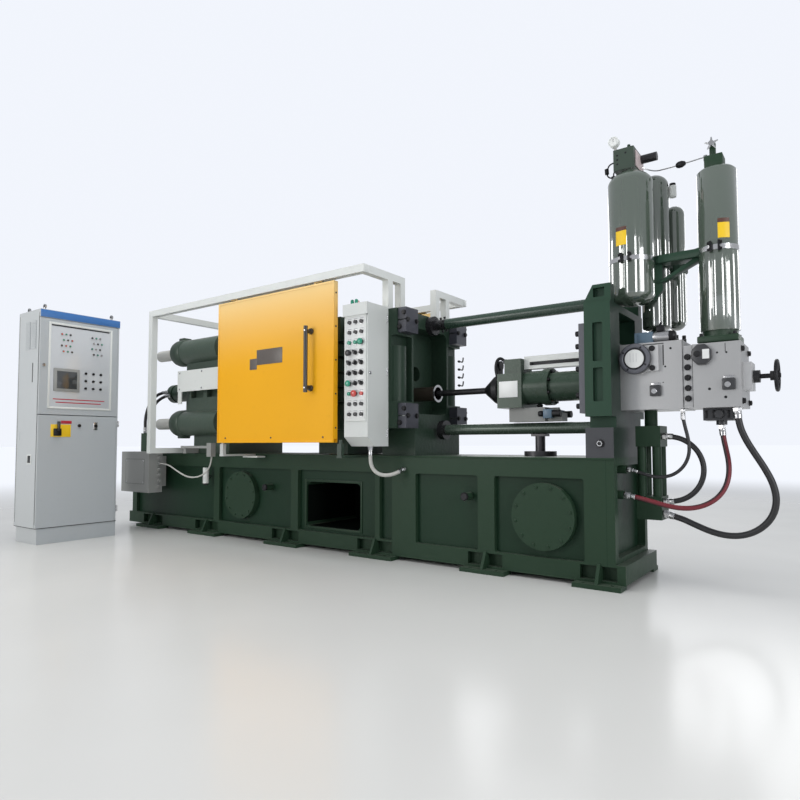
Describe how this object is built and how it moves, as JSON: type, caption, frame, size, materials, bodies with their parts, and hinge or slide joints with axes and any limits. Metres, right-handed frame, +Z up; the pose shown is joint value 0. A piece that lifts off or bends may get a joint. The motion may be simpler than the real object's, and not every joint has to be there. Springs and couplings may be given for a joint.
{
  "type": "cold chamber die casting machine",
  "caption": "Horizontal cold-chamber die casting machine: toggle clamp on tie bars, sliding guard doors, shot cylinder, hydraulic manifold with accumulators and a control cabinet.",
  "frame": {"origin": "on the floor in the machine's middle plane, where the clamp base and the injection base meet", "axes": "+X along the machine towards the injection end, +Y away from the operator, +Z up"},
  "size_m": [5.361, 2.027, 2.482],
  "materials": {
    "machine_green": "satin grey-green enamel",
    "steel_dark": "dark machined steel",
    "steel_bright": "ground bare steel",
    "frame_grey": "light grey enamel",
    "door_amber": "amber yellow enamel",
    "handle_black": "black plastic",
    "cylinder_grey": "grey enamel",
    "bottle_green": "high gloss grey-green enamel",
    "bridge_green": "satin grey-green enamel",
    "box_grey": "grey enamel",
    "cabinet_grey": "light grey enamel with a blue header",
    "hose_black": "black rubber hose",
    "hose_red": "dark red rubber hose",
    "conduit_pale": "pale grey corrugated conduit"
  },
  "bodies": {
    "machine": {"base_feet": "machine_green", "bottle_bridge": "bridge_green", "bottle_valve_block": "steel_bright", "cabinet_body": "cabinet_grey", "clamp_base": "machine_green", "clamp_cylinder": "cylinder_grey", "column": "machine_green", "column_foot": "machine_green", "control_box": "frame_grey", "cylinder_head": "machine_green", "cylinder_unit": "steel_bright", "door_guides": "frame_grey", "fixed_platen": "machine_green", "injection_base": "machine_green", "junction_box": "box_grey", "large_bottle": "bottle_green", "large_hose": "hose_black", "left_guard_frame": "frame_grey", "limit_switch": "box_grey", "link_bars": "steel_bright", "loop_hose": "hose_black", "manifold_valves": "steel_bright", "mounting_plate": "machine_green", "panel_conduit": "conduit_pale", "pilot_hose": "hose_black", "piston_accumulator": "bottle_green", "platen_posts": "frame_grey", "pressure_hose": "hose_black", "rear_bottles": "bottle_green", "red_hose": "hose_red", "return_hose": "hose_black", "shot_cylinder": "machine_green", "shot_sleeve": "steel_dark", "spindle_block": "steel_bright", "stroke_box": "frame_grey", "support_jack": "steel_dark", "switch_cable": "conduit_pale", "tail_platen": "machine_green", "tail_side_covers": "frame_grey", "tie_bar_clamps": "steel_dark", "tie_bars": "steel_bright", "top_rails": "frame_grey", "under_manifold": "steel_bright", "valve_manifold": "steel_bright"},
    "front_door_panel": {"front_door": "door_amber", "front_door_handle": "handle_black"},
    "rear_door_panel": {"rear_door": "door_amber"},
    "moving_plate": {"moving_platen": "machine_green"},
    "tail_link_top": {"tail_link_upper": "steel_dark"},
    "tail_link_bottom": {"tail_link_lower": "steel_dark"},
    "front_link_top": {"front_link_upper": "steel_dark"},
    "front_link_bottom": {"front_link_lower": "steel_dark"},
    "crosshead_unit": {"crosshead": "steel_dark"},
    "cross_link_top": {"cross_link_upper": "steel_dark"},
    "cross_link_bottom": {"cross_link_lower": "steel_dark"},
    "plunger_unit": {"plunger": "steel_dark"},
    "handwheel": {"throttle_handwheel": "handle_black"},
    "star_grip": {"star_handle": "steel_bright"},
    "upper_cabinet_door": {"cabinet_upper_door": "cabinet_grey"},
    "lower_cabinet_door": {"cabinet_lower_door": "cabinet_grey"}
  },
  "joints": [
    {"name": "front_door_slide", "type": "slide", "parent": "machine", "child": "front_door_panel", "axis": [-1, 0, 0], "range_m": [0, 0.87]},
    {"name": "rear_door_slide", "type": "slide", "parent": "machine", "child": "rear_door_panel", "axis": [-1, 0, 0], "range_m": [0, 0.87]},
    {"name": "platen_slide", "type": "slide", "parent": "machine", "child": "moving_plate", "axis": [-1, 0, 0], "range_m": [0, 0.33]},
    {"name": "tail_link_upper_turn", "type": "hinge", "parent": "machine", "child": "tail_link_top", "pos_m": [-1.66, 0, 1.547], "axis": [0, 1, 0], "range_deg": [0, 100]},
    {"name": "tail_link_lower_turn", "type": "hinge", "parent": "machine", "child": "tail_link_bottom", "pos_m": [-1.66, 0, 0.947], "axis": [0, -1, 0], "range_deg": [0, 100]},
    {"name": "front_link_upper_turn", "type": "hinge", "parent": "moving_plate", "child": "front_link_top", "pos_m": [-0.82, 0, 1.547], "axis": [0, -1, 0], "range_deg": [0, 24]},
    {"name": "front_link_lower_turn", "type": "hinge", "parent": "moving_plate", "child": "front_link_bottom", "pos_m": [-0.82, 0, 0.947], "axis": [0, 1, 0], "range_deg": [0, 24]},
    {"name": "crosshead_slide", "type": "slide", "parent": "machine", "child": "crosshead_unit", "axis": [-1, 0, 0], "range_m": [0, 0.19]},
    {"name": "cross_link_upper_turn", "type": "hinge", "parent": "crosshead_unit", "child": "cross_link_top", "pos_m": [-1.235, 0, 1.337], "axis": [0, -1, 0], "range_deg": [0, 55]},
    {"name": "cross_link_lower_turn", "type": "hinge", "parent": "crosshead_unit", "child": "cross_link_bottom", "pos_m": [-1.235, 0, 1.157], "axis": [0, 1, 0], "range_deg": [0, 55]},
    {"name": "plunger_slide", "type": "slide", "parent": "machine", "child": "plunger_unit", "axis": [-1, 0, 0], "range_m": [0, 0.35]},
    {"name": "handwheel_turn", "type": "hinge", "parent": "machine", "child": "handwheel", "pos_m": [2.105, 0, 1.092], "axis": [1, 0, 0], "continuous": true},
    {"name": "star_handle_turn", "type": "hinge", "parent": "machine", "child": "star_grip", "pos_m": [1.841, -0.03, 2.333], "axis": [0, -1, 0], "continuous": true},
    {"name": "upper_cabinet_door_hinge", "type": "hinge", "parent": "machine", "child": "upper_cabinet_door", "pos_m": [-2.623, -0.788, 1.36], "axis": [0, 0, 1], "range_deg": [0, 90]},
    {"name": "lower_cabinet_door_hinge", "type": "hinge", "parent": "machine", "child": "lower_cabinet_door", "pos_m": [-2.623, -0.788, 0.55], "axis": [0, 0, 1], "range_deg": [0, 90]}
  ],
  "couplings": [
    {"joint": "tail_link_upper_turn", "follows": "platen_slide", "rad_per_m": 5.2836},
    {"joint": "tail_link_lower_turn", "follows": "platen_slide", "rad_per_m": 5.2836},
    {"joint": "front_link_upper_turn", "follows": "platen_slide", "rad_per_m": 1.227},
    {"joint": "front_link_lower_turn", "follows": "platen_slide", "rad_per_m": 1.227},
    {"joint": "crosshead_slide", "follows": "platen_slide", "ratio": 0.5697},
    {"joint": "cross_link_upper_turn", "follows": "platen_slide", "rad_per_m": 2.856},
    {"joint": "cross_link_lower_turn", "follows": "platen_slide", "rad_per_m": 2.856}
  ]
}
